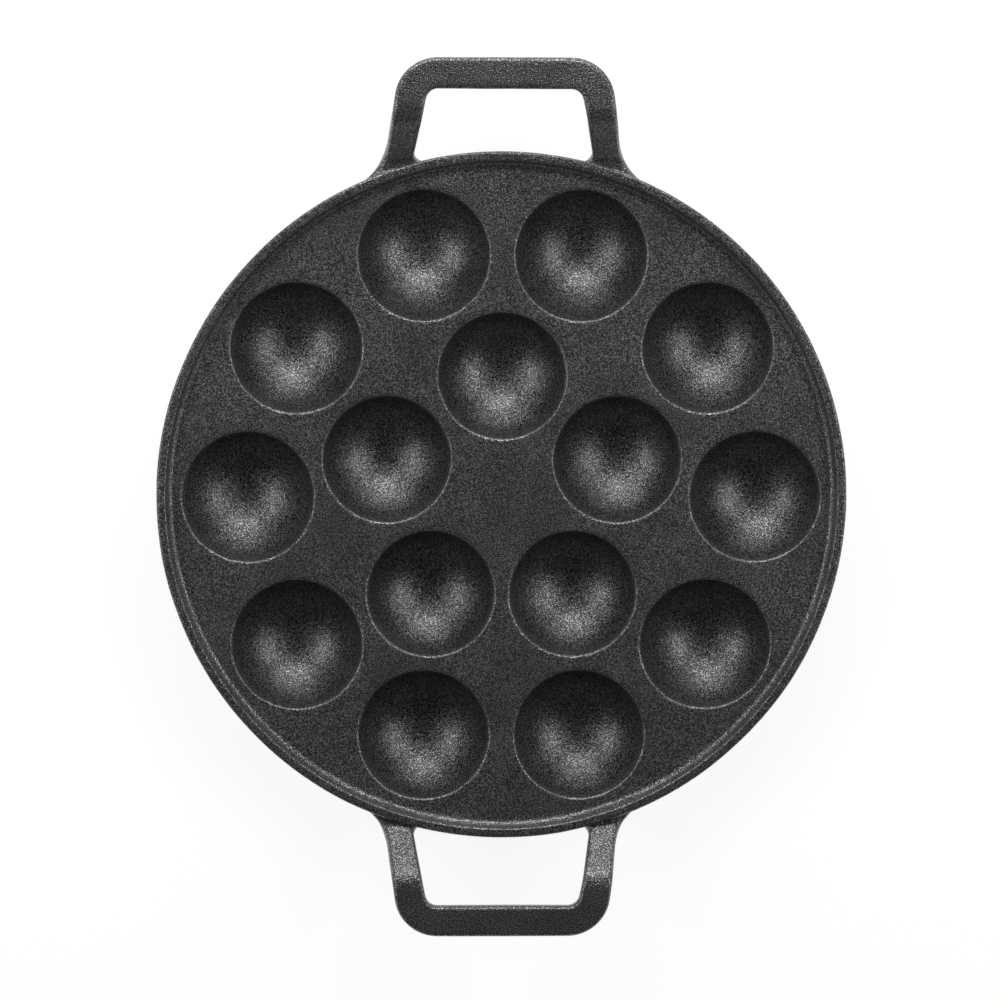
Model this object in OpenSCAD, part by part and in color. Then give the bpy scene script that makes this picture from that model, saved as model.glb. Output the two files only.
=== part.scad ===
// Cast iron paniyaram pan: a round plate with a raised rim, two rings of bowl shaped cups
// that hang below the plate, and two strap handles, all cast in one piece.
// The pan stands on the small flats under its cups. Origin: centre of the pan, on the
// resting plane. +Z is up and +Y points along the handles.

/* [Plate and rim] */
// Diameter of the pan over its rim
pan_d = 240; // [232:0.5:260]
// Thickness of the flat plate between the cups
plate_t = 5; // [4:0.25:6.5]
// Height of the rim above the plate
rim_h = 4.5; // [3.75:0.25:8]
// Width of the rim across its top
rim_w = 3.4; // [2.4:0.1:4.5]
// Draft of the outer wall, which narrows downwards, in degrees
wall_draft = 8; // [2:0.5:14]
// Draft of the rim's inner face, in degrees
rim_draft = 8; // [2:0.5:14]
// Radius of the corner where the plate turns up into the rim
rim_corner_r = 2.5; // [1:0.25:3]
// Radius of the two top edges of the rim
rim_edge_r = 0.8; // [0.4:0.1:1]
// Radius under the outer edge of the plate
belly_r = 2; // [1:0.25:2.25]

/* [Cups] */
// Number of cups in the outer ring
outer_cups = 10; // [6:1:10]
// Number of cups in the inner ring
inner_cups = 5; // [3:1:5]
// Width of the land between the widest place of the pan and the mouths of the outer cups
outer_land = 9.3; // [8.3:0.1:10.3]
// Distance along a radius by which the outer cups keep clear of the inner cups
ring_land = 2.2; // [1.2:0.1:3.2]
// Mouth of an outer cup, where its wall would meet the plate with no lip radius
outer_mouth_d = 44.6; // [41:0.2:46]
// Mouth of an inner cup, measured in the same way
inner_mouth_d = 43.4; // [41:0.2:45]
// Depth of a cup below the plate
cup_depth = 18; // [16:0.5:21]
// Radius of the round floor of a cup
cup_floor_r = 24.5; // [23.5:0.5:29]
// Radius of the knuckle between the floor of a cup and its wall
cup_knuckle_r = 14; // [10:0.5:16]
// Lean of the wall of a cup from upright, in degrees
cup_draft = 14; // [9:1:18]
// Radius of the lip round the mouth of a cup
lip_r = 0.7; // [0.4:0.1:1.2]
// Thickness of the iron round a cup
cup_wall = 3.8; // [3:0.1:4.6]
// Radius of the fillet between a cup and the underside of the plate
cup_fillet_r = 3; // [1.5:0.25:4]
// Diameter of the flat that a cup stands on
foot_d = 13; // [8:0.5:18]

/* [Handles] */
// Overall length of the pan over both handles
length_over_handles = 304.2; // [300:0.2:320]
// Distance between the middles of the legs, measured on the line of the grip
handle_span = 61.4; // [52:0.1:68]
// Width of the strap
strap_w = 10.2; // [8:0.1:12.5]
// Thickness of the strap
strap_t = 4.8; // [4:0.1:5.2]
// Radius of the edges of the strap
strap_edge_r = 1.5; // [0.6:0.1:1.9]
// Height of the top of the grip above the plate
grip_rise = 19; // [15:0.5:24]
// Lean of the legs towards each other, in degrees
leg_lean = 9.6; // [6.2, 7.1, 9.6, 13.5]
// Climb of the legs, in degrees
leg_climb = 44.74; // [42.97, 44.74, 45.26, 47.03]
// Radius of the corners between legs and grip, to the middle of the strap
handle_corner_r = 9; // [7:0.25:10]
// Radius of the bend where a leg turns up out of the wall, to the middle of the strap
root_bend_r = 5.6; // [4:0.2:7]
// Radius of the bend where a leg levels out into the grip, to the middle of the strap
grip_bend_r = 5; // [3.5:0.25:7]
// How far inside the wall that bend starts, on the middle line of a leg
root_seat = 1; // [0.8:0.1:1.2]
// Radius in plan between the outside of a leg and the wall
root_outer_r = 21; // [12:1:22]
// Radius in plan between the inside of a leg and the wall
root_inner_r = 3; // [2:0.25:4]

/* [Hidden] */
$fn = 72;
rim_fn = 180;
iron = "#2c2c2d";

// Levels, counted from the plate's top surface
underside = -plate_t;
foot_cut = cup_floor_r + cup_wall - sqrt(pow(cup_floor_r + cup_wall, 2) - pow(foot_d / 2, 2));
foot_level = -cup_depth - cup_wall + foot_cut;
plate_z = -foot_level;

// Diameters of the circles through the centres of the outer and of the inner cups
outer_ring_d = pan_d - 2 * outer_land - outer_mouth_d;
inner_ring_d = outer_ring_d - outer_mouth_d - 2 * ring_land - inner_mouth_d;

// Rim section, with x counted outwards from the widest place of the pan
wall_r = pan_d / 2;
outer_edge = [-rim_edge_r, rim_h - rim_edge_r];
belly_y = underside + belly_r;
belly = [
    outer_edge[0] + (rim_edge_r - belly_r + (belly_y - outer_edge[1]) * sin(wall_draft))
        / cos(wall_draft),
    belly_y
];
rim_outer_x = outer_edge[0] + rim_edge_r * (1 + sin(wall_draft)) / cos(wall_draft);
rim_inner_x = rim_outer_x - rim_w;
rim_foot_x = rim_inner_x - rim_h * tan(rim_draft);
inner_edge = [
    rim_inner_x + rim_edge_r * (1 - sin(rim_draft)) / cos(rim_draft),
    rim_h - rim_edge_r
];
rim_corner = [
    rim_foot_x - rim_corner_r * (1 - sin(rim_draft)) / cos(rim_draft),
    rim_corner_r
];
wall_middle_r = wall_r + rim_foot_x / 2;

// Levels of the strap's middle surface, and the radius of the wall where the legs leave it
strap_level = grip_rise - strap_t / 2;
root_level = (rim_h + underside) / 2;
root_wall_r = wall_r + outer_edge[0]
    + (rim_edge_r - (outer_edge[1] - root_level) * sin(wall_draft)) / cos(wall_draft);

// Plan of the right leg: its line runs from the corner of the handle towards the pan
grip_y = length_over_handles / 2 - strap_w / 2;
handle_corner = [handle_span / 2, grip_y];
leg_in = [sin(leg_lean), -cos(leg_lean)];
leg_out = [cos(leg_lean), sin(leg_lean)];
corner_turn = 90 - leg_lean;
corner_run = handle_corner_r * tan(corner_turn / 2);
wall_run = run_to_circle(handle_corner, root_wall_r);

// Lengths of the straight stretches of the strap
grip_half = handle_span / 2 - corner_run;
bends_r = root_bend_r + grip_bend_r;
climb_len = (strap_level - root_level - bends_r * (1 - cos(leg_climb))) / sin(leg_climb);
level_len = wall_run + root_seat - corner_run
    - bends_r * sin(leg_climb) - climb_len * cos(leg_climb);
root_len = strap_w;

// Webs that fill the corners between a leg and the wall
web_t = strap_t - strap_edge_r;
web_reach = strap_w / 2 + root_outer_r;

// How far a rounding of the rim crosses the faces beside it
crossing = 0.005;

// How far a web's rounding runs into the leg and the wall, so that it meets both at an angle
web_sink = 0.3;

// Angle by which a bend is swept too far before it is cut off
over_turn = 10;

// Clearance by which a cutting shape passes a surface
past = 1;

// A point at an angle and a distance
function polar(r, a) = [r * cos(a), r * sin(a)];

// Distance from a plan point, along the leg's line, to a circle round the origin
function run_to_circle(p, r) =
    -(p * leg_in) - sqrt(pow(p * leg_in, 2) - p * p + r * r);

// Slice of a disc between two angles
module slice(centre, r, from, to) {
    reach = 2 * r;
    middle = (from + to) / 2;
    translate(centre)
        intersection() {
            circle(r);
            polygon([[0, 0], polar(reach, from), polar(reach, middle), polar(reach, to)]);
        }
}

// Disc that rounds a corner, slightly too large so that it crosses both sides of the corner
module rounding(centre, r) {
    translate(centre)
        circle(r + crossing);
}

// Half section through the plate and the rim
module dish_section() {
    difference() {
        union() {
            polygon([
                [-wall_r, underside],
                [belly[0], underside],
                belly + polar(belly_r, -wall_draft),
                outer_edge + polar(rim_edge_r, -wall_draft),
                [outer_edge[0], rim_h],
                [inner_edge[0], rim_h],
                inner_edge + polar(rim_edge_r, 180 - rim_draft),
                rim_corner + polar(rim_corner_r, -rim_draft),
                [rim_corner[0], 0],
                [-wall_r, 0]
            ]);
            rounding(belly, belly_r);
            rounding(outer_edge, rim_edge_r);
            rounding(inner_edge, rim_edge_r);
        }
        rounding(rim_corner, rim_corner_r);
    }
}

module dish() {
    rotate_extrude($fn = rim_fn)
        translate([wall_r, 0])
            dish_section();
}

// Centre of the floor's arc, the same for every cup
floor_centre = [0, cup_floor_r - cup_depth];

// Angle at which the floor's arc runs into the knuckle's arc
function floor_angle(mouth_r) =
    asin((mouth_r * cos(cup_draft) + floor_centre[1] * sin(cup_draft) - cup_knuckle_r)
        / (cup_floor_r - cup_knuckle_r)) - cup_draft;

// Centre of the knuckle's arc
function knuckle_centre(mouth_r) =
    floor_centre + polar(cup_floor_r - cup_knuckle_r, floor_angle(mouth_r) - 90);

// Half section of the hollow of a cup
module cup_hollow_section(mouth_r) {
    floor_end = floor_angle(mouth_r) - 90;
    knuckle = knuckle_centre(mouth_r);
    lip = [mouth_r + lip_r * (1 - sin(cup_draft)) / cos(cup_draft), -lip_r];
    top = rim_h + past;
    difference() {
        union() {
            polygon([
                [0, -cup_depth],
                floor_centre + polar(cup_floor_r, floor_end),
                knuckle + polar(cup_knuckle_r, -cup_draft),
                lip + polar(lip_r, 180 - cup_draft),
                [lip[0], 0],
                [lip[0], top],
                [0, top]
            ]);
            slice(floor_centre, cup_floor_r, -90, floor_end);
            slice(knuckle, cup_knuckle_r, floor_end, -cup_draft);
        }
        slice(lip, lip_r, 90, 180 - cup_draft);
    }
}

// Half section of the bowl below the plate, with the fillet at its root and its foot
module cup_bowl_section(mouth_r) {
    floor_end = floor_angle(mouth_r) - 90;
    foot_start = asin(foot_d / 2 / (cup_floor_r + cup_wall)) - 90;
    knuckle = knuckle_centre(mouth_r);
    bowl_knuckle_r = cup_knuckle_r + cup_wall;
    fillet_y = underside - cup_fillet_r;
    fillet_angle = asin((fillet_y - knuckle[1]) / (bowl_knuckle_r + cup_fillet_r));
    on_knuckle = fillet_angle < -cup_draft;
    touch_angle = min(fillet_angle, -cup_draft);
    fillet = on_knuckle
        ? knuckle + polar(bowl_knuckle_r + cup_fillet_r, fillet_angle)
        : [mouth_r + (cup_wall + cup_fillet_r + fillet_y * sin(cup_draft)) / cos(cup_draft),
            fillet_y];
    wall_points = on_knuckle ? [] : [knuckle + polar(bowl_knuckle_r, -cup_draft)];
    top = underside / 2;
    difference() {
        union() {
            polygon([
                [0, foot_level],
                [foot_d / 2, foot_level],
                floor_centre + polar(cup_floor_r + cup_wall, floor_end),
                each wall_points,
                fillet + polar(cup_fillet_r, 180 + touch_angle),
                [fillet[0], underside],
                [fillet[0], top],
                [0, top]
            ]);
            intersection() {
                slice(floor_centre, cup_floor_r + cup_wall, foot_start, floor_end);
                translate([0, foot_level])
                    square([bowl_knuckle_r * 2, -foot_level]);
            }
            slice(knuckle, bowl_knuckle_r, floor_end, touch_angle);
        }
        slice(fillet, cup_fillet_r, 90, 180 + touch_angle);
    }
}

// Places for one ring of cups; the inner ring has one cup towards +Y, the outer ring
// straddles that line
module on_ring(count, ring_d, first) {
    for (i = [0 : count - 1])
        rotate(90 + first + i * 360 / count)
            translate([ring_d / 2, 0])
                children();
}

module cup_bowls() {
    on_ring(outer_cups, outer_ring_d, 180 / outer_cups)
        rotate_extrude()
            cup_bowl_section(outer_mouth_d / 2);
    on_ring(inner_cups, inner_ring_d, 0)
        rotate_extrude()
            cup_bowl_section(inner_mouth_d / 2);
}

module cup_hollows() {
    on_ring(outer_cups, outer_ring_d, 180 / outer_cups)
        rotate_extrude()
            cup_hollow_section(outer_mouth_d / 2);
    on_ring(inner_cups, inner_ring_d, 0)
        rotate_extrude()
            cup_hollow_section(inner_mouth_d / 2);
}

// Cross section of the strap; with no edge radius, of a flat bar
module strap_section(width, thick, edge_r) {
    if (edge_r > 0) {
        square([width - 2 * edge_r, thick], center = true);
        square([width, thick - 2 * edge_r], center = true);
        for (x = [-1, 1], y = [-1, 1])
            translate([x * (width / 2 - edge_r), y * (thick / 2 - edge_r)])
                circle(edge_r);
    } else {
        square([width, thick], center = true);
    }
}

// Straight stretch of bar along +Y; what follows it starts at its end
module straight(len, width, thick, edge_r) {
    rotate([-90, 0, 0])
        linear_extrude(len)
            strap_section(width, thick, edge_r);
    translate([0, len, 0])
        children();
}

// Frame at the end of a bend
module turned(r, turn) {
    translate([r, 0, 0])
        rotate(-turn)
            translate([-r, 0, 0])
                children();
}

// Bend of the bar, swept too far and cut off square at its end; a roll of 0 turns it
// right, 90 down and -90 up
module bend(r, turn, roll, width, thick, edge_r) {
    reach = r + width;
    rotate([0, roll, 0])
        difference() {
            translate([r, 0, 0])
                mirror([1, 0, 0])
                    rotate_extrude(angle = turn + over_turn)
                        translate([r, 0])
                            rotate(roll)
                                strap_section(width, thick, edge_r);
            turned(r, turn)
                translate([-width, 0, -width])
                    cube([reach, reach, 2 * width]);
        }
    rotate([0, roll, 0])
        turned(r, turn)
            rotate([0, -roll, 0])
                children();
}

// Leg of a handle, from its level stretch down to the root in the wall
module leg(width, thick, edge_r) {
    straight(level_len, width, thick, edge_r)
        bend(grip_bend_r, leg_climb, 90, width, thick, edge_r)
            straight(climb_len, width, thick, edge_r)
                bend(root_bend_r, leg_climb, -90, width, thick, edge_r)
                    straight(root_len, width, thick, edge_r);
}

// Right half of the bar of a handle, from the middle of the grip to the end of the corner
module half_grip() {
    translate([0, grip_y, strap_level])
        rotate(-90)
            straight(grip_half, strap_w, strap_t, strap_edge_r)
                bend(handle_corner_r, corner_turn, 0, strap_w, strap_t, strap_edge_r)
                    children();
}

// Plan of the web on one side of the right leg: the corner between the leg and the wall,
// less the disc that rounds it
module web_plan(side, r) {
    start = handle_corner + side * (strap_w / 2 + r - web_sink) * leg_out;
    centre = start + run_to_circle(start, root_wall_r - web_sink + r) * leg_in;
    difference() {
        polygon([
            centre - side * (strap_w / 2 + r) * leg_out,
            centre,
            centre * wall_middle_r / norm(centre),
            handle_corner + (wall_run + strap_w / 2) * leg_in
        ]);
        translate(centre)
            circle(r);
    }
}

// Webs of the right leg, cut from a wide bar that follows the leg
module leg_webs() {
    intersection() {
        translate([0, 0, underside])
            linear_extrude(grip_rise - underside) {
                web_plan(1, root_outer_r);
                web_plan(-1, root_inner_r);
            }
        half_grip()
            leg(2 * web_reach, web_t, 0);
    }
}

// Right half of a handle: half the grip, the corner, the leg and its webs
module half_handle() {
    half_grip()
        leg(strap_w, strap_t, strap_edge_r);
    leg_webs();
}

// Both handles, cut off inside the wall of the pan
module handles() {
    difference() {
        for (x = [0, 1], y = [0, 1])
            mirror([x, 0, 0])
                mirror([0, y, 0])
                    half_handle();
        translate([0, 0, underside - past])
            cylinder(r = wall_middle_r, h = plate_t + rim_h + 2 * past, $fn = rim_fn);
    }
}

// The round body with its cups
module body() {
    difference() {
        union() {
            dish();
            cup_bowls();
        }
        cup_hollows();
    }
}

module pan() {
    color(iron)
        translate([0, 0, plate_z]) {
            body();
            handles();
        }
}

pan();
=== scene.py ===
"""Cast iron paniyaram pan: the dressed casting, its finish and a plain studio."""

import math

import bmesh
import bpy
from bpy.props import FloatProperty, FloatVectorProperty, IntProperty, PointerProperty
from mathutils import Matrix, Vector, noise
from mathutils.geometry import delaunay_2d_cdt


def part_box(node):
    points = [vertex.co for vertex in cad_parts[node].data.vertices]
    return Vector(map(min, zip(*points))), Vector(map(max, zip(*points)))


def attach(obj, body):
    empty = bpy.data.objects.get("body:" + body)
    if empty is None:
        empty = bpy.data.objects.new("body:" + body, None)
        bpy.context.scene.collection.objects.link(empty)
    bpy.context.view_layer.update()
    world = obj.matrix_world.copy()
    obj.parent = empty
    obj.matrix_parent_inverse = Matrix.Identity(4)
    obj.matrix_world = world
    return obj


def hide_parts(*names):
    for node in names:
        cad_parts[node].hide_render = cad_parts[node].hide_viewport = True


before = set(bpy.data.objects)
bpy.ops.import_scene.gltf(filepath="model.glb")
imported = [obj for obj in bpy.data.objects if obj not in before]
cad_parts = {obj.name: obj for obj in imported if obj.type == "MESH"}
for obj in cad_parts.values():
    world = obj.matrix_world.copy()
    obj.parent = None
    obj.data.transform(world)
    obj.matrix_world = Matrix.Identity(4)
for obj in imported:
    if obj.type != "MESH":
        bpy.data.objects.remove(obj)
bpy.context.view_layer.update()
cad_low, cad_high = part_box("pan")

bl_info = {
    "name": "Paniyaram pan",
    "version": (1, 0, 0),
    "blender": (4, 5, 0),
    "location": "View3D > Sidebar > Pan",
    "description": "Builds a cast iron pan with cups, its seasoned finish and a plain studio",
    "category": "Object",
}

MM = 0.001
QUARTER_TURN = math.pi / 2

# How far the wall of the body stays inside the CAD box
BOX_CLEARANCE = 0.01 * MM

# Seed of the unevenness of the skin; without one, Blender's noise changes with the clock
UNEVENNESS_SEED = 7

# Steps along the arcs of the profiles and along the strap of a handle
FLOOR_STEPS = 13
KNUCKLE_STEPS = 10
WALL_STEPS = 3
LIP_STEPS = 5
BOWL_STEPS = 9
BOWL_KNUCKLE_STEPS = 7
BOWL_FILLET_STEPS = 5
RIM_CORNER_STEPS = 6
RIM_EDGE_STEPS = 5
RIM_WALL_STEPS = 4
ROOT_STEPS = 30
LEG_STEPS = 36
HANDLE_CORNER_STEPS = 18
GRIP_STEPS = 10
STRAP_EDGE_STEPS = 5
STRAP_FLAT_STEPS = 6


# Sizes and colours


class BodySizes(bpy.types.PropertyGroup):
    """Sizes of the round body, in metres"""

    wall_radius: FloatProperty(
        name="Wall radius",
        description="Radius at the widest place of the rim",
        default=cad_high.x - BOX_CLEARANCE,
        unit="LENGTH",
    )
    plate_height: FloatProperty(
        name="Plate height",
        description="Height of the plate's top over the plane that the cups stand on",
        default=21.0434 * MM,
        unit="LENGTH",
    )
    plate_thickness: FloatProperty(
        name="Plate thickness",
        description="Thickness of the plate between the cups",
        default=5 * MM,
        unit="LENGTH",
    )
    rim_height: FloatProperty(
        name="Rim height",
        description="Height of the rim above the plate",
        default=4.5 * MM,
        unit="LENGTH",
    )
    rim_width: FloatProperty(
        name="Rim width",
        description="Width of the rim across its top",
        default=3.4 * MM,
        unit="LENGTH",
    )
    draft: FloatProperty(
        name="Draft",
        description="Draft of the outer wall and of the rim's inner side",
        default=math.radians(8),
        subtype="ANGLE",
    )
    rim_edge: FloatProperty(
        name="Rim edge radius",
        description="Radius of the two top edges of the rim",
        default=0.85 * MM,
        unit="LENGTH",
    )
    rim_corner: FloatProperty(
        name="Rim corner radius",
        description="Radius where the plate turns up into the rim",
        default=2.5 * MM,
        unit="LENGTH",
    )
    belly: FloatProperty(
        name="Belly radius",
        description="Radius under the outer edge of the plate",
        default=2 * MM,
        unit="LENGTH",
    )
    segments: IntProperty(
        name="Segments",
        description="Number of segments round the rim",
        default=360,
    )


class CupSizes(bpy.types.PropertyGroup):
    """Sizes of the cups, in metres"""

    outer_count: IntProperty(
        name="Outer cups",
        description="Number of cups in the outer ring",
        default=10,
    )
    inner_count: IntProperty(
        name="Inner cups",
        description="Number of cups in the inner ring",
        default=5,
    )
    outer_ring: FloatProperty(
        name="Outer ring radius",
        description="Radius of the circle through the centres of the outer cups",
        default=88.4 * MM,
        unit="LENGTH",
    )
    inner_ring: FloatProperty(
        name="Inner ring radius",
        description="Radius of the circle through the centres of the inner cups",
        default=42.2 * MM,
        unit="LENGTH",
    )
    outer_mouth: FloatProperty(
        name="Outer mouth radius",
        description="Radius of an outer cup where its wall would meet the plate",
        default=22.75 * MM,
        unit="LENGTH",
    )
    inner_mouth: FloatProperty(
        name="Inner mouth radius",
        description="Radius of an inner cup where its wall would meet the plate",
        default=22.1 * MM,
        unit="LENGTH",
    )
    depth: FloatProperty(
        name="Depth",
        description="Depth of a cup below the plate",
        default=18 * MM,
        unit="LENGTH",
    )
    floor: FloatProperty(
        name="Floor radius",
        description="Radius of the round floor of a cup",
        default=24.5 * MM,
        unit="LENGTH",
    )
    knuckle: FloatProperty(
        name="Knuckle radius",
        description="Radius between the floor of a cup and its wall",
        default=14 * MM,
        unit="LENGTH",
    )
    draft: FloatProperty(
        name="Cup draft",
        description="Lean of the wall of a cup from upright",
        default=math.radians(14),
        subtype="ANGLE",
    )
    lip: FloatProperty(
        name="Lip radius",
        description="Radius of the lip round the mouth of a cup",
        default=1.2 * MM,
        unit="LENGTH",
    )
    wall: FloatProperty(
        name="Cup wall",
        description="Thickness of the iron round a cup",
        default=3.8 * MM,
        unit="LENGTH",
    )
    fillet: FloatProperty(
        name="Cup fillet radius",
        description="Radius between a bowl and the underside of the plate",
        default=3 * MM,
        unit="LENGTH",
    )
    foot: FloatProperty(
        name="Foot radius",
        description="Radius of the flat that a cup stands on",
        default=6.5 * MM,
        unit="LENGTH",
    )
    segments: IntProperty(
        name="Cup segments",
        description="Number of segments round a cup",
        default=84,
    )


class HandleSizes(bpy.types.PropertyGroup):
    """Sizes of the strap handles, in metres"""

    reach: FloatProperty(
        name="Reach",
        description="Distance from the centre of the pan to the end of a handle",
        default=cad_high.y,
        unit="LENGTH",
    )
    span: FloatProperty(
        name="Span",
        description="Distance between the middles of the legs on the line of the grip",
        default=61.3 * MM,
        unit="LENGTH",
    )
    grip_width: FloatProperty(
        name="Grip width",
        description="Width of the strap at the grip",
        default=10.7 * MM,
        unit="LENGTH",
    )
    leg_width: FloatProperty(
        name="Leg width",
        description="Width of a leg where it meets the wall, without its fillets",
        default=9.1 * MM,
        unit="LENGTH",
    )
    thickness: FloatProperty(
        name="Thickness",
        description="Thickness of the strap",
        default=4.8 * MM,
        unit="LENGTH",
    )
    edge: FloatProperty(
        name="Edge radius",
        description="Radius of the edges of the strap",
        default=1.5 * MM,
        unit="LENGTH",
    )
    rise: FloatProperty(
        name="Rise",
        description="Height of the top of the grip above the plate",
        default=19 * MM,
        unit="LENGTH",
    )
    lean: FloatProperty(
        name="Lean",
        description="Lean of the legs towards each other",
        default=math.radians(10.4),
        subtype="ANGLE",
    )
    climb: FloatProperty(
        name="Climb",
        description="Climb of the legs",
        default=math.radians(47.5),
        subtype="ANGLE",
    )
    corner: FloatProperty(
        name="Corner radius",
        description="Radius of the corners between legs and grip, to the middle of the strap",
        default=9.6 * MM,
        unit="LENGTH",
    )
    root_bend: FloatProperty(
        name="Root bend radius",
        description="Radius of the bend where a leg turns up out of the wall",
        default=9 * MM,
        unit="LENGTH",
    )
    grip_bend: FloatProperty(
        name="Grip bend radius",
        description="Radius of the bend where a leg levels out into the grip",
        default=9 * MM,
        unit="LENGTH",
    )
    outer_fillet: FloatProperty(
        name="Outer root fillet",
        description="Radius in plan between the outside of a leg and the wall",
        default=21 * MM,
        unit="LENGTH",
    )
    inner_fillet: FloatProperty(
        name="Inner root fillet",
        description="Radius in plan between the inside of a leg and the wall",
        default=3.2 * MM,
        unit="LENGTH",
    )


class FinishValues(bpy.types.PropertyGroup):
    """Colours and roughness of the seasoned iron"""

    # Skin below the plate's top: the seasoned skin's own black, made darker still as painted
    # shade in the cups and underneath
    dark: FloatVectorProperty(
        name="Skin",
        description="Colour of the seasoned skin",
        default=(0.0054, 0.0054, 0.0056),
        subtype="COLOR",
    )
    # Lighter skin from just below the plate's top upwards: the skin's own colour plus painted
    # light on the plate, rim and handles
    skin_with_painted_light: FloatVectorProperty(
        name="Worn skin",
        description="Colour of the skin from the plate upwards, where spoons and hands rub it",
        default=(0.0260, 0.0260, 0.0264),
        subtype="COLOR",
    )
    light: FloatVectorProperty(
        name="Grain tips",
        description="Colour of the iron that shows on the tips of the grains",
        default=(0.4200, 0.4200, 0.4250),
        subtype="COLOR",
    )
    roughness: FloatProperty(
        name="Roughness",
        description="Mean roughness of the seasoned skin",
        default=0.28,
    )
    bare: FloatProperty(
        name="Bare metal",
        description="How much bare metal shows on the tips of the grains",
        default=0.9,
    )
    sheen: FloatProperty(
        name="Sheen",
        description="Index of refraction of the seasoned skin",
        default=1.62,
    )
    grain: FloatProperty(
        name="Grain size",
        description="Size of the sand grains in the casting",
        default=0.7 * MM,
        unit="LENGTH",
    )
    grain_depth: FloatProperty(
        name="Grain depth",
        description="Depth of the sand grains in the casting",
        default=0.07 * MM,
        unit="LENGTH",
    )


class StudioValues(bpy.types.PropertyGroup):
    """Camera, lamps and floor"""

    camera_distance: FloatProperty(
        name="Camera distance",
        description="Distance of the camera from the plate",
        default=1.35346,
        unit="LENGTH",
    )
    lens: FloatProperty(
        name="Lens",
        description="Focal length in millimetres on a 36 mm sensor",
        default=139.78,
    )
    tilt_x: FloatProperty(
        name="Tilt about X",
        description="Turn of the pan about X under the camera",
        default=math.radians(6.28),
        subtype="ANGLE",
    )
    tilt_y: FloatProperty(
        name="Tilt about Y",
        description="Turn of the pan about Y under the camera",
        default=math.radians(1.77),
        subtype="ANGLE",
    )
    turn: FloatProperty(
        name="Turn",
        description="Turn of the pan about the line of sight",
        default=math.radians(0.03),
        subtype="ANGLE",
    )
    offset_x: FloatProperty(
        name="Offset X",
        description="Shift of the pan to the right of the line of sight",
        default=0.69 * MM,
        unit="LENGTH",
    )
    offset_y: FloatProperty(
        name="Offset Y",
        description="Shift of the pan above the line of sight",
        default=1.19 * MM,
        unit="LENGTH",
    )
    key: FloatProperty(
        name="Back lamp",
        description="Power of the lamp beyond the far handle, in watts",
        default=1.85,
    )
    side: FloatProperty(
        name="Side lamps",
        description="Power of each lamp at a side, in watts",
        default=1.7,
    )
    low: FloatProperty(
        name="Low lamp",
        description="Power of the wide low lamp beyond the far handle, in watts",
        default=2.0,
    )
    backdrop: FloatVectorProperty(
        name="Backdrop",
        description="Colour of the floor and the backdrop",
        default=(1.0, 1.0, 1.0),
        subtype="COLOR",
    )


class PanSettings(bpy.types.PropertyGroup):
    """All the settings of the pan and its studio"""

    body: PointerProperty(type=BodySizes)
    cups: PointerProperty(type=CupSizes)
    handles: PointerProperty(type=HandleSizes)
    finish: PointerProperty(type=FinishValues)
    studio: PointerProperty(type=StudioValues)


# Shapes in a plane and rings in space


def polar(radius, angle):
    """Plan point at a distance and an angle from the origin."""
    return Vector((radius * math.cos(angle), radius * math.sin(angle)))


def arc(centre, radius, start, end, steps):
    """Points of an arc from one angle to another, both ends included."""
    return [
        centre + polar(radius, start + (end - start) * i / steps)
        for i in range(steps + 1)
    ]


def between(one, other, steps):
    """Points that divide the line from one point to another, without its ends."""
    return [one.lerp(other, i / steps) for i in range(1, steps)]


class Surface:
    """Points and faces of one mesh, gathered ring by ring."""

    def __init__(self):
        self.points = []
        self.faces = []

    def ring(self, points):
        """Adds points and gives their numbers."""
        first = len(self.points)
        self.points.extend(points)
        return list(range(first, len(self.points)))

    def loft(self, rings):
        """Joins each ring to the next one by a band of faces."""
        for one, other in zip(rings, rings[1:]):
            count = len(one)
            for i in range(count):
                j = (i + 1) % count
                self.faces.append((one[i], other[i], other[j], one[j]))

    def fan(self, centre, ring):
        """Closes a ring by triangles that meet in a point."""
        middle = self.ring([centre])[0]
        for i in range(len(ring)):
            self.faces.append((middle, ring[i], ring[(i + 1) % len(ring)]))

    def sheet(self, numbers, keep):
        """Joins points by triangles in plan, and keeps those whose middle passes a test."""
        triangles_of_hull = 0
        same_place = 1e-7
        plan = [Vector(self.points[number][:2]) for number in numbers]
        _, _, faces, origins, _, _ = delaunay_2d_cdt(plan, [], [], triangles_of_hull, same_place)
        for face in faces:
            corners = [origins[corner][0] for corner in face]
            middle = sum((plan[corner] for corner in corners), Vector((0, 0))) / 3
            if keep(middle):
                self.faces.append(tuple(numbers[corner] for corner in corners))

    def to_object(self, name):
        """Makes a mesh object in which points at the same place are one."""
        same_place = 2e-7
        mesh = bpy.data.meshes.new(name)
        mesh.from_pydata(self.points, [], self.faces)
        shape = bmesh.new()
        shape.from_mesh(mesh)
        bmesh.ops.remove_doubles(shape, verts=shape.verts, dist=same_place)
        bmesh.ops.recalc_face_normals(shape, faces=shape.faces)
        shape.to_mesh(mesh)
        shape.free()
        made = bpy.data.objects.new(name, mesh)
        bpy.context.scene.collection.objects.link(made)
        return made


# The cups


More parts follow.
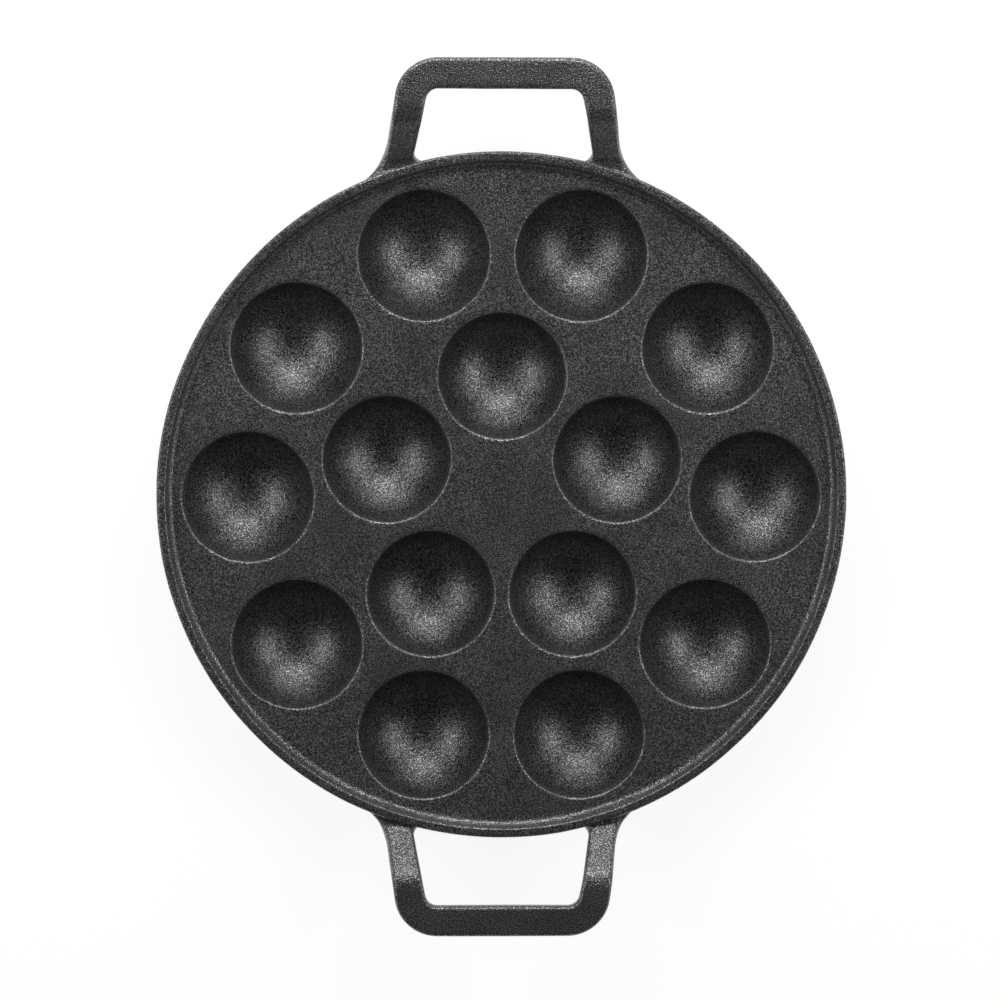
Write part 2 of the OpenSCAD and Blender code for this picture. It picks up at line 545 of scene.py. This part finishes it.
class Cup:
    """Profile of one cup and of the bowl under it; heights count from the plate's top."""

    def __init__(self, sizes, body, mouth, place):
        draft = sizes.draft
        centre_gap = sizes.floor - sizes.knuckle
        self.sizes = sizes
        self.place = place
        self.underside = -body.plate_thickness
        self.floor_centre = Vector((0, sizes.floor - sizes.depth))
        reach = (
            mouth * math.cos(draft)
            + self.floor_centre.y * math.sin(draft)
            - sizes.knuckle
        )
        self.floor_end = math.asin(reach / centre_gap) - draft - QUARTER_TURN
        self.knuckle_centre = self.floor_centre + polar(centre_gap, self.floor_end)
        lip_shift = sizes.lip * (1 - math.sin(draft)) / math.cos(draft)
        self.lip_centre = Vector((mouth + lip_shift, -sizes.lip))

    def hollow(self):
        """Profile of the hollow from near its lowest point to the end of the lip."""
        sizes = self.sizes
        floor = arc(self.floor_centre, sizes.floor, -QUARTER_TURN, self.floor_end, FLOOR_STEPS)
        knuckle = arc(
            self.knuckle_centre, sizes.knuckle, self.floor_end, -sizes.draft, KNUCKLE_STEPS
        )
        lip = arc(self.lip_centre, sizes.lip, math.pi - sizes.draft, QUARTER_TURN, LIP_STEPS)
        wall = between(knuckle[-1], lip[0], WALL_STEPS)
        return floor[1:] + knuckle[1:] + wall + lip

    def bowl(self):
        """Profile of the bowl from the edge of its foot to the end of its fillet."""
        sizes = self.sizes
        outer_floor = sizes.floor + sizes.wall
        outer_knuckle = sizes.knuckle + sizes.wall
        foot_start = math.asin(sizes.foot / outer_floor) - QUARTER_TURN
        fillet_height = self.underside - sizes.fillet
        fillet_gap = outer_knuckle + sizes.fillet
        touch = min(
            math.asin((fillet_height - self.knuckle_centre.y) / fillet_gap), -sizes.draft
        )
        fillet_centre = self.knuckle_centre + polar(fillet_gap, touch)
        floor = arc(self.floor_centre, outer_floor, foot_start, self.floor_end, BOWL_STEPS)
        knuckle = arc(
            self.knuckle_centre, outer_knuckle, self.floor_end, touch, BOWL_KNUCKLE_STEPS
        )
        fillet = arc(
            fillet_centre, sizes.fillet, math.pi + touch, QUARTER_TURN, BOWL_FILLET_STEPS
        )
        fillet = [Vector((point.x, min(point.y, self.underside))) for point in fillet]
        return floor + knuckle[1:] + fillet[1:]

    def around(self, radius, height, segments):
        """Level ring of points about the middle of the cup."""
        return [
            Vector(
                (
                    self.place.x + radius * math.cos(math.tau * i / segments),
                    self.place.y + radius * math.sin(math.tau * i / segments),
                    height,
                )
            )
            for i in range(segments)
        ]


def cups_of(settings):
    """All cups: the outer ring straddles +Y, the inner ring has one cup towards +Y."""
    sizes = settings.cups
    rings = (
        (sizes.outer_count, sizes.outer_ring, sizes.outer_mouth, math.pi / sizes.outer_count),
        (sizes.inner_count, sizes.inner_ring, sizes.inner_mouth, 0.0),
    )
    return [
        Cup(
            sizes,
            settings.body,
            mouth,
            polar(radius, QUARTER_TURN + first + math.tau * i / count),
        )
        for count, radius, mouth, first in rings
        for i in range(count)
    ]


# The body


def rim_profile(sizes):
    """From the plate's top, over the rim and round the belly, as radius and height."""
    top = sizes.rim_height
    edge = sizes.rim_edge
    tilt = sizes.draft
    outer_edge = Vector((sizes.wall_radius - edge, top - edge))
    belly_height = sizes.belly - sizes.plate_thickness
    drop = belly_height - outer_edge.y
    belly_shift = (edge - sizes.belly + drop * math.sin(tilt)) / math.cos(tilt)
    belly = Vector((outer_edge.x + belly_shift, belly_height))
    shoulder = edge * (1 + math.sin(tilt)) / math.cos(tilt)
    inner_x = outer_edge.x + shoulder - sizes.rim_width
    foot_x = inner_x - top * math.tan(tilt)
    inner_shift = edge * (1 - math.sin(tilt)) / math.cos(tilt)
    inner_edge = Vector((inner_x + inner_shift, top - edge))
    corner_shift = sizes.rim_corner * (1 - math.sin(tilt)) / math.cos(tilt)
    corner = Vector((foot_x - corner_shift, sizes.rim_corner))
    wall_top = outer_edge + polar(edge, -tilt)
    wall_foot = belly + polar(sizes.belly, -tilt)
    return (
        arc(corner, sizes.rim_corner, -QUARTER_TURN, -tilt, RIM_CORNER_STEPS)
        + arc(inner_edge, edge, math.pi - tilt, QUARTER_TURN, RIM_EDGE_STEPS)
        + arc(outer_edge, edge, QUARTER_TURN, -tilt, RIM_CORNER_STEPS)
        + between(wall_top, wall_foot, RIM_WALL_STEPS)
        + arc(belly, sizes.belly, -tilt, -QUARTER_TURN, RIM_CORNER_STEPS)
    )


def triangular_grid(reach, spacing):
    """Plan points of a triangular grid inside a circle."""
    row_share = math.sqrt(0.75)
    rows = int(reach / (spacing * row_share)) + 1
    columns = int(reach / spacing) + 1
    points = []
    for row in range(-rows, rows + 1):
        shift = 0.5 * (row % 2)
        for column in range(-columns, columns + 1):
            point = Vector(((column + shift) * spacing, row * spacing * row_share))
            if point.length < reach:
                points.append(point)
    return points


def height_on(profile, distance):
    """Height of a profile at a distance from its axis; it is level up to its first point."""
    if distance <= profile[0].x:
        return profile[0].y
    low, high = next(pair for pair in zip(profile, profile[1:]) if pair[1].x > distance)
    return low.y + (high.y - low.y) * (distance - low.x) / (high.x - low.x)


def depth_below(cups, bowls, underside, point):
    """How far the bowls reach below the underside of the plate at a plan point.

    Where two bowls meet, a high power blends them with a small fillet.
    """
    power = 7
    total = 0.0
    for cup, bowl in zip(cups, bowls):
        distance = (point - cup.place).length
        if distance < bowl[-1].x:
            total += max(underside - height_on(bowl, distance), 0.0) ** power
    return total ** (1 / power)


def add_plate(skin, sizes, cups, rim_foot, reach):
    """The hollows of the cups, and the top of the plate between them and the rim."""
    grid = 2.0 * MM
    clear_of_rim = 0.5 * grid
    clear_of_lip = 0.6 * grid
    inside_lip = 0.1 * MM
    plate = list(rim_foot)
    for cup in cups:
        hollow = cup.hollow()
        rings = [skin.ring(cup.around(level.x, level.y, sizes.segments)) for level in hollow]
        skin.loft(rings)
        skin.fan(Vector((*cup.place, -sizes.depth)), rings[0])
        plate.extend(rings[-1])
    for point in triangular_grid(reach - clear_of_rim, grid):
        if all((point - cup.place).length > cup.lip_centre.x + clear_of_lip for cup in cups):
            plate.extend(skin.ring([Vector((*point, 0.0))]))

    def outside_cups(point):
        return all((point - cup.place).length > cup.lip_centre.x - inside_lip for cup in cups)

    skin.sheet(plate, outside_cups)


def add_underside(skin, cups, belly_end, reach, underside):
    """The bowls under the cups, and the underside of the plate between them."""
    foot_segments = 24
    foot_rings = (0.4, 0.75)
    bowl_segments = 72
    seam_gap = 0.45 * MM
    grid = 3.0 * MM
    clear_of_belly = 0.5 * grid
    clear_of_bowl = 0.4 * grid
    bowls = [cup.bowl() for cup in cups]
    below = list(belly_end)

    def add(point):
        depth = depth_below(cups, bowls, underside, point)
        below.extend(skin.ring([Vector((*point, underside - depth))]))

    for cup, bowl in zip(cups, bowls):
        add(cup.place)
        for share in foot_rings:
            for place in cup.around(bowl[0].x * share, 0, foot_segments):
                add(place.to_2d())

        # Where two bowls meet, each keeps the points that are nearer to it
        for level in bowl:
            for place in cup.around(level.x, 0, bowl_segments):
                point = place.to_2d()
                own = (point - cup.place).length - bowl[-1].x
                if all(
                    own < (point - other.place).length - other_bowl[-1].x - seam_gap
                    for other, other_bowl in zip(cups, bowls)
                    if other is not cup
                ):
                    add(point)
    for point in triangular_grid(reach - clear_of_belly, grid):
        if all(
            (point - cup.place).length > bowl[-1].x + clear_of_bowl
            for cup, bowl in zip(cups, bowls)
        ):
            add(point)
    skin.sheet(below, lambda point: True)


def build_body(settings):
    """The plate with its rim, its cups and the bowls below, as one closed skin."""
    sizes = settings.body
    cups = cups_of(settings)
    outline = rim_profile(sizes)
    skin = Surface()
    rim = [
        skin.ring(
            [
                Vector((*polar(level.x, math.tau * i / sizes.segments), level.y))
                for i in range(sizes.segments)
            ]
        )
        for level in outline
    ]
    skin.loft(rim)
    add_plate(skin, settings.cups, cups, rim[0], outline[0].x)
    add_underside(skin, cups, rim[-1], outline[-1].x, -sizes.plate_thickness)
    return skin.to_object("body")


# The handles


def run_to_circle(start, along, radius):
    """Distance from a plan point in a direction to a circle round the origin."""
    reach = start.dot(along)
    return -reach - math.sqrt(reach**2 - start.length_squared + radius**2)


class Edge:
    """One edge of the right leg in plan: straight, then a fillet that ends in the wall."""

    def __init__(self, start, end, outward, fillet, wall):
        self.start = start
        self.along = (end - start).normalized()
        self.away = Vector((-self.along.y, self.along.x))
        if self.away.dot(outward) < 0:
            self.away = -self.away
        offset = start + fillet * self.away
        self.straight = run_to_circle(offset, self.along, wall + fillet)
        self.centre = offset + self.straight * self.along
        self.fillet = fillet
        self.first = math.atan2(-self.away.y, -self.away.x)
        last = math.atan2(-self.centre.y, -self.centre.x)
        self.turn = (last - self.first + math.pi) % math.tau - math.pi
        self.length = self.straight + abs(self.turn) * fillet

    def at(self, length):
        """Point at a length along the edge, and the direction from it into the iron."""
        if length <= self.straight:
            return self.start + length * self.along, -self.away
        share = (length - self.straight) / (self.length - self.straight)
        into_iron = polar(1, self.first + share * self.turn)
        return self.centre + self.fillet * into_iron, into_iron


class Strap:
    """The strap of one handle, lofted through sections that follow its bends."""

    def __init__(self, settings):
        sizes = settings.handles
        body = settings.body
        root_overlap = 0.15 * MM
        bend_inside_wall = 0.6 * MM
        self.sizes = sizes
        self.level = sizes.rise - sizes.thickness / 2
        self.root_level = (body.rim_height - body.plate_thickness) / 2

        # Radius of the body's wall at the height of the roots
        drop = body.rim_height - body.rim_edge - self.root_level
        wall = (
            body.wall_radius
            - body.rim_edge
            + (body.rim_edge - drop * math.sin(body.draft)) / math.cos(body.draft)
        )

        # Plan of the right leg
        corner = Vector((sizes.span / 2, sizes.reach - sizes.grip_width / 2))
        to_wall = Vector((math.sin(sizes.lean), -math.cos(sizes.lean)))
        outward = Vector((math.cos(sizes.lean), math.sin(sizes.lean)))
        corner_run = sizes.corner * math.tan((QUARTER_TURN - sizes.lean) / 2)
        top = corner + corner_run * to_wall
        root = corner + run_to_circle(corner, to_wall, wall) * to_wall
        self.corner_centre = top - sizes.corner * outward
        self.edges = [
            Edge(
                top + side * sizes.grip_width / 2 * outward,
                root + side * sizes.leg_width / 2 * outward,
                side * outward,
                fillet,
                wall - root_overlap,
            )
            for side, fillet in ((1, sizes.outer_fillet), (-1, sizes.inner_fillet))
        ]

        # Seen from the side: level root, bend, climb, bend, level grip
        rise = self.level - self.root_level
        bends = sizes.root_bend + sizes.grip_bend
        self.root_y = root.y - bend_inside_wall
        self.climb_start = self.root_y + sizes.root_bend * math.sin(sizes.climb)
        self.level_y = (
            self.root_y
            + bends * math.sin(sizes.climb)
            + (rise - bends * (1 - math.cos(sizes.climb))) / math.tan(sizes.climb)
        )
        self.climb_end = self.level_y - sizes.grip_bend * math.sin(sizes.climb)

    def height_and_slope(self, y):
        """Middle surface of the strap, which bends only along Y."""
        sizes = self.sizes
        if y < self.root_y:
            return self.root_level, 0.0
        if y < self.climb_start:
            slope = math.asin((y - self.root_y) / sizes.root_bend)
            return self.root_level + sizes.root_bend * (1 - math.cos(slope)), slope
        if y < self.climb_end:
            start = self.root_level + sizes.root_bend * (1 - math.cos(sizes.climb))
            return start + (y - self.climb_start) * math.tan(sizes.climb), sizes.climb
        if y < self.level_y:
            slope = math.asin((self.level_y - y) / sizes.grip_bend)
            return self.level - sizes.grip_bend * (1 - math.cos(slope)), slope
        return self.level, 0.0

    def right_half(self):
        """Sections from inside the wall to the middle of the grip: both edges of each."""
        sizes = self.sizes
        straight = self.edges[0].straight
        buried = 1.5 * MM
        ends = [edge.at(edge.length) for edge in self.edges]
        sections = [[(point + buried * into_iron, into_iron) for point, into_iron in ends]]

        # Fillets at the root, then the straight leg
        for i in range(ROOT_STEPS):
            share = 1 - i / ROOT_STEPS
            sections.append(
                [edge.at(straight + share * (edge.length - straight)) for edge in self.edges]
            )
        for i in range(LEG_STEPS + 1):
            length = straight * (1 - i / LEG_STEPS)
            sections.append([edge.at(length) for edge in self.edges])

        # Corner, then half of the grip
        outer_radius = sizes.corner + sizes.grip_width / 2
        inner_radius = sizes.corner - sizes.grip_width / 2
        for i in range(1, HANDLE_CORNER_STEPS + 1):
            way = polar(1, sizes.lean + (QUARTER_TURN - sizes.lean) * i / HANDLE_CORNER_STEPS)
            sections.append(
                [
                    (self.corner_centre + outer_radius * way, -way),
                    (self.corner_centre + inner_radius * way, way),
                ]
            )
        up = Vector((0, 1))
        for i in range(1, GRIP_STEPS + 1):
            x = self.corner_centre.x * (1 - i / GRIP_STEPS)
            sections.append(
                [
                    (Vector((x, self.corner_centre.y + outer_radius)), -up),
                    (Vector((x, self.corner_centre.y + inner_radius)), up),
                ]
            )
        return sections

    def section_ring(self, section):
        """Rounded section between two edges, as points in space."""
        sizes = self.sizes
        half = sizes.thickness / 2
        flat = half - sizes.edge

        # The lower rounding of an edge, then the upper one: depth into the iron and height
        rounding = []
        for sign in (-1, 1):
            for i in range(STRAP_EDGE_STEPS + 1):
                angle = QUARTER_TURN * (i / STRAP_EDGE_STEPS - (sign < 0))
                depth = sizes.edge * (1 - math.cos(angle))
                rounding.append((depth, sign * flat + sizes.edge * math.sin(angle)))
        (outer, into_outer), (inner, into_inner) = section
        outer_side = [(outer + depth * into_outer, up) for depth, up in rounding]
        inner_side = [(inner + depth * into_inner, up) for depth, up in reversed(rounding)]
        top = between(outer_side[-1][0], inner_side[0][0], STRAP_FLAT_STEPS)
        bottom = between(inner_side[-1][0], outer_side[0][0], STRAP_FLAT_STEPS)
        outline = (
            outer_side
            + [(point, half) for point in top]
            + inner_side
            + [(point, -half) for point in bottom]
        )
        ring = []
        for plan, up in outline:
            height, slope = self.height_and_slope(plan.y)
            ring.append(
                Vector((plan.x, plan.y - up * math.sin(slope), height + up * math.cos(slope)))
            )
        return ring

    def build(self, name):
        """The whole strap: the right half and its mirror image, closed at both ends."""
        right = self.right_half()
        left = [
            [(Vector((-point.x, point.y)), Vector((-into.x, into.y))) for point, into in section]
            for section in reversed(right[:-1])
        ]
        skin = Surface()
        rings = [skin.ring(self.section_ring(section)) for section in right + left]
        skin.loft(rings)
        for ring in (rings[0], rings[-1]):
            middle = sum((skin.points[number] for number in ring), Vector()) / len(ring)
            skin.fan(middle, ring)
        return skin.to_object(name)


# The casting


def unite(body, others):
    """Joins closed skins into one, with the faces of the others marked by their material."""
    mark = 1
    for other in others:
        for polygon in other.data.polygons:
            polygon.material_index = mark
        join = body.modifiers.new("join", "BOOLEAN")
        join.operation = "UNION"
        join.solver = "EXACT"
        join.object = other
    graph = bpy.context.evaluated_depsgraph_get()
    mesh = bpy.data.meshes.new_from_object(body.evaluated_get(graph))
    body.modifiers.clear()
    body.data = mesh
    for other in others:
        bpy.data.objects.remove(other)


def soften_roots(mesh, rounds, width):
    """Smooths the skin in a band along the line where the handles leave the wall."""
    shape = bmesh.new()
    shape.from_mesh(mesh)
    band = {
        vertex
        for edge in shape.edges
        if len({face.material_index for face in edge.link_faces}) > 1
        for vertex in edge.verts
    }
    for _ in range(width):
        band |= {edge.other_vert(vertex) for vertex in band for edge in vertex.link_edges}
    for _ in range(rounds):
        bmesh.ops.smooth_vert(
            shape,
            verts=list(band),
            factor=0.5,
            use_axis_x=True,
            use_axis_y=True,
            use_axis_z=True,
        )
    shape.to_mesh(mesh)
    shape.free()


def cast_unevenness(point):
    """Small wander of a sand casting's skin at a point."""
    swell_length = 34 * MM
    swell_height = 0.16 * MM
    ripple_length = 9 * MM
    ripple_height = 0.045 * MM
    swell = noise.noise_vector(point / swell_length) * swell_height
    ripple = noise.noise_vector(point / ripple_length) * ripple_height
    return swell + ripple


def build_casting(settings):
    """The body and both handles as one uneven skin, held inside the CAD box."""
    body = build_body(settings)
    far = Strap(settings).build("far")
    near = Strap(settings).build("near")
    near.data.transform(Matrix.Rotation(math.pi, 4, "Z"))
    unite(body, [far, near])
    soften_roots(body.data, rounds=6, width=1)
    noise.seed_set(UNEVENNESS_SEED)
    lift = Vector((0, 0, settings.body.plate_height))
    for vertex in body.data.vertices:
        moved = vertex.co + lift + cast_unevenness(vertex.co)
        for axis in range(3):
            moved[axis] = min(max(moved[axis], cad_low[axis]), cad_high[axis])
        vertex.co = moved
    for polygon in body.data.polygons:
        polygon.use_smooth = True
        polygon.material_index = 0
    body.name = "casting"
    return body


# The finish


class Socket:
    """Output of a shader node that takes part in expressions."""

    def __init__(self, shader, link):
        self.shader = shader
        self.link = link

    def math(self, operation, one, other):
        return self.shader.node(
            "ShaderNodeMath", {"operation": operation}, {0: one, 1: other}
        )

    def __add__(self, other):
        return self.math("ADD", self, other)

    __radd__ = __add__

    def __sub__(self, other):
        return self.math("SUBTRACT", self, other)

    def __mul__(self, other):
        return self.math("MULTIPLY", self, other)


class Shader:
    """Node tree of a material or of a world."""

    def __init__(self, owner):
        owner.use_nodes = True
        self.tree = owner.node_tree
        self.tree.nodes.clear()

    def node(self, kind, settings=None, values=None, output=0):
        """Adds a node with its settings and inputs, and gives one of its outputs."""
        made = self.tree.nodes.new(kind)
        for name, value in (settings or {}).items():
            setattr(made, name, value)
        for key, value in (values or {}).items():
            if isinstance(value, Socket):
                self.tree.links.new(value.link, made.inputs[key])
            else:
                made.inputs[key].default_value = value
        return Socket(self, made.outputs[output]) if made.outputs else None

    def noise(self, place, size, detail, roughness=0.5):
        """Noise about 0.5 whose spots have about the given size."""
        return self.node(
            "ShaderNodeTexNoise",
            {},
            {"Vector": place, "Scale": 1 / size, "Detail": detail, "Roughness": roughness},
        )

    def ramp(self, factor, low, high):
        """Grey ramp between two stops, each a position and a brightness."""
        colours = self.node("ShaderNodeValToRGB", {}, {"Fac": factor})
        elements = colours.link.node.color_ramp.elements
        for element, (position, value) in zip(elements, (low, high)):
            element.position = position
            element.color = (value, value, value, 1)
        return colours

    def colour_mix(self, factor, one, other):
        """Mixes two colours, by the colour sockets of a Mix node."""
        first_colour = 6
        second_colour = 7
        mixed_colour = 2
        return self.node(
            "ShaderNodeMix",
            {"data_type": "RGBA"},
            {"Factor": factor, first_colour: one, second_colour: other},
            output=mixed_colour,
        )


def seasoned_iron(values, plate_height):
    """Sand cast iron under a satin black skin of burnt oil; painted light makes it greyer from
    the plate upwards, painted shade darker in the cups.
    """
    material = bpy.data.materials.new("seasoned_iron")
    shader = Shader(material)
    place = shader.node("ShaderNodeTexCoord", output="Object")

    # Three noises: sand grains, finer dust, and wide mottles
    dust_size = 0.55 * values.grain
    mottle_size = 14 * MM
    grains = shader.noise(place, values.grain, detail=2.0, roughness=0.55)
    dust = shader.noise(place, dust_size, detail=0.0)
    mottle = shader.noise(place, mottle_size, detail=3.0)
    noise_mean = 0.5

    # Relief of the grains
    raised_share = 0.75
    dust_share = 0.35
    raised = shader.ramp(grains, (0.40, 0.0), (0.62, 1.0))
    bump = shader.node(
        "ShaderNodeBump",
        {},
        {
            "Strength": 1.0,
            "Distance": values.grain_depth,
            "Height": raised * raised_share + dust * dust_share,
        },
    )

    # Skin, greyer from just below the plate's top upwards: painted light on the plate, rim and
    # handles, painted shade in the cups and underneath
    painted_light_start = plate_height - 5 * MM
    painted_light_end = plate_height - 0.4 * MM
    height = shader.node("ShaderNodeSeparateXYZ", {}, {"Vector": place}, output="Z")
    painted_light_share = shader.node(
        "ShaderNodeMapRange",
        {"interpolation_type": "SMOOTHSTEP"},
        {"Value": height, "From Min": painted_light_start, "From Max": painted_light_end},
    )
    skin = shader.colour_mix(painted_light_share, (*values.dark, 1), (*values.skin_with_painted_light, 1))

    # Bare iron on the tips of the grains, more of it in some mottles
    mottle_wear = 0.8
    least_wear = 0.5
    tips = shader.ramp(dust, (0.53, 0.0), (0.66, 1.0))
    wear = tips * (mottle * mottle_wear + least_wear)
    colour = shader.colour_mix(wear, skin, (*values.light, 1))

    mottle_roughness = 0.16
    dust_roughness = 0.22
    roughness = (
        values.roughness
        + (mottle - noise_mean) * mottle_roughness
        + (dust - noise_mean) * dust_roughness
    )
    surface = shader.node(
        "ShaderNodeBsdfPrincipled",
        {},
        {
            "Base Color": colour,
            "Metallic": tips * values.bare,
            "Roughness": roughness,
            "IOR": values.sheen,
            "Normal": bump,
        },
    )
    shader.node("ShaderNodeOutputMaterial", {}, {"Surface": surface})
    return material


# The studio


def floor_material(colour):
    """Pale floor that shows white to the camera and to reflections and keeps the shadow."""
    material = bpy.data.materials.new("studio_floor")
    shader = Shader(material)
    shown_as_white = 0.82
    white_strength = 1.1
    camera = shader.node("ShaderNodeLightPath", output="Is Camera Ray")
    glossy = shader.node("ShaderNodeLightPath", output="Is Glossy Ray")
    through = shader.node("ShaderNodeLightPath", output="Is Transmission Ray")
    paper = shader.node("ShaderNodeBsdfDiffuse", {}, {"Color": (*colour, 1)})
    glow = shader.node(
        "ShaderNodeEmission", {}, {"Color": (*colour, 1), "Strength": white_strength}
    )
    seen = (camera + glossy + through) * shown_as_white
    surface = shader.node("ShaderNodeMixShader", {}, {"Fac": seen, 1: paper, 2: glow})
    shader.node("ShaderNodeOutputMaterial", {}, {"Surface": surface})
    return material


def build_floor(colour):
    """Wide square floor on the plane that the cups stand on."""
    reach = 4.0
    corners = [(-reach, -reach, 0), (reach, -reach, 0), (reach, reach, 0), (-reach, reach, 0)]
    mesh = bpy.data.meshes.new("floor")
    mesh.from_pydata(corners, [], [(0, 1, 2, 3)])
    mesh.materials.append(floor_material(colour))
    floor = bpy.data.objects.new("floor", mesh)
    bpy.context.scene.collection.objects.link(floor)
    return floor


def build_world():
    """Pale at the horizon, dim overhead, as in a studio with a dark ceiling."""
    world = bpy.data.worlds.new("studio")
    bpy.context.scene.world = world
    shader = Shader(world)
    horizon = (0.04, 0.8)
    ceiling = (0.28, 0.03)
    place = shader.node("ShaderNodeTexCoord", output="Generated")
    height = shader.node("ShaderNodeSeparateXYZ", {}, {"Vector": place}, output="Z")
    sky = shader.ramp(height, horizon, ceiling)
    background = shader.node("ShaderNodeBackground", {}, {"Color": sky, "Strength": 1.0})
    shader.node("ShaderNodeOutputWorld", {}, {"Surface": background})


def add_lamp(name, power, size, distance, from_top, heading):
    """Soft box that looks at the pan; its angles count from straight up and from +X."""
    data = bpy.data.lights.new(name, "AREA")
    data.shape = "RECTANGLE"
    data.size, data.size_y = size
    data.energy = power
    lamp = bpy.data.objects.new(name, data)
    flat = polar(distance * math.sin(from_top), heading)
    lamp.location = (flat.x, flat.y, distance * math.cos(from_top))
    lamp.rotation_euler = (-Vector(lamp.location)).to_track_quat("-Z", "Y").to_euler()
    bpy.context.scene.collection.objects.link(lamp)


def build_lamps(studio):
    """Three high soft boxes for the cups, and a wide low one that misses their floors."""
    high = math.radians(47)
    low = math.radians(72)
    back = math.radians(90)
    left = math.radians(171)
    right = math.radians(9)

    # Name, power, size, distance, angle from straight up, heading
    lamps = (
        ("back_lamp", studio.key, (0.57, 0.21), 0.65, high, back),
        ("left_lamp", studio.side, (0.63, 0.27), 0.85, high, left),
        ("right_lamp", studio.side, (0.63, 0.27), 0.85, high, right),
        ("low_lamp", studio.low, (1.0, 0.2), 0.75, low, back),
    )
    for lamp in lamps:
        add_lamp(*lamp)


def add_camera(studio, plate_height):
    """Camera at the photograph's place: the pan turns about X, Y and Z under it."""
    turn = (
        Matrix.Rotation(studio.turn, 3, "Z")
        @ Matrix.Rotation(studio.tilt_y, 3, "Y")
        @ Matrix.Rotation(studio.tilt_x, 3, "X")
    )
    to_pan = turn.transposed()
    place = to_pan @ Vector((-studio.offset_x, -studio.offset_y, studio.camera_distance))
    place.z += plate_height
    data = bpy.data.cameras.new("camera")
    data.lens = studio.lens
    data.sensor_width = 36.0
    data.clip_end = 50.0
    camera = bpy.data.objects.new("camera", data)
    camera.matrix_world = Matrix.Translation(place) @ to_pan.to_4x4()
    bpy.context.scene.collection.objects.link(camera)
    bpy.context.scene.camera = camera


# Operators, panel and registration


class PAN_OT_casting(bpy.types.Operator):
    """Build the casting and give it its seasoned finish"""

    bl_idname = "pan.casting"
    bl_label = "Casting"

    def execute(self, context):
        settings = context.scene.pan
        casting = build_casting(settings)
        casting.data.materials.clear()
        casting.data.materials.append(seasoned_iron(settings.finish, settings.body.plate_height))
        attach(casting, "root")
        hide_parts("pan")
        return {"FINISHED"}


class PAN_OT_studio(bpy.types.Operator):
    """Set up the floor, the lamps and the camera"""

    bl_idname = "pan.studio"
    bl_label = "Studio"

    def execute(self, context):
        settings = context.scene.pan
        studio = settings.studio
        context.scene.view_settings.view_transform = "Standard"
        build_floor(studio.backdrop)
        build_world()
        build_lamps(studio)
        add_camera(studio, settings.body.plate_height)
        return {"FINISHED"}


class PAN_PT_panel(bpy.types.Panel):
    """Steps that build the pan"""

    bl_label = "Paniyaram pan"
    bl_idname = "PAN_PT_panel"
    bl_space_type = "VIEW_3D"
    bl_region_type = "UI"
    bl_category = "Pan"

    def draw(self, context):
        settings = context.scene.pan
        column = self.layout.column()
        column.operator("pan.casting")
        column.operator("pan.studio")
        for group in PanSettings.__annotations__:
            values = getattr(settings, group)
            for name in values.__annotations__:
                column.prop(values, name)


CLASSES = (
    BodySizes,
    CupSizes,
    HandleSizes,
    FinishValues,
    StudioValues,
    PanSettings,
    PAN_OT_casting,
    PAN_OT_studio,
    PAN_PT_panel,
)


def register():
    for cls in CLASSES:
        bpy.utils.register_class(cls)
    bpy.types.Scene.pan = PointerProperty(type=PanSettings)


def unregister():
    del bpy.types.Scene.pan
    for cls in reversed(CLASSES):
        bpy.utils.unregister_class(cls)


def main():
    register()
    bpy.ops.pan.casting()
    bpy.ops.pan.studio()


if __name__ == "__main__":
    main()
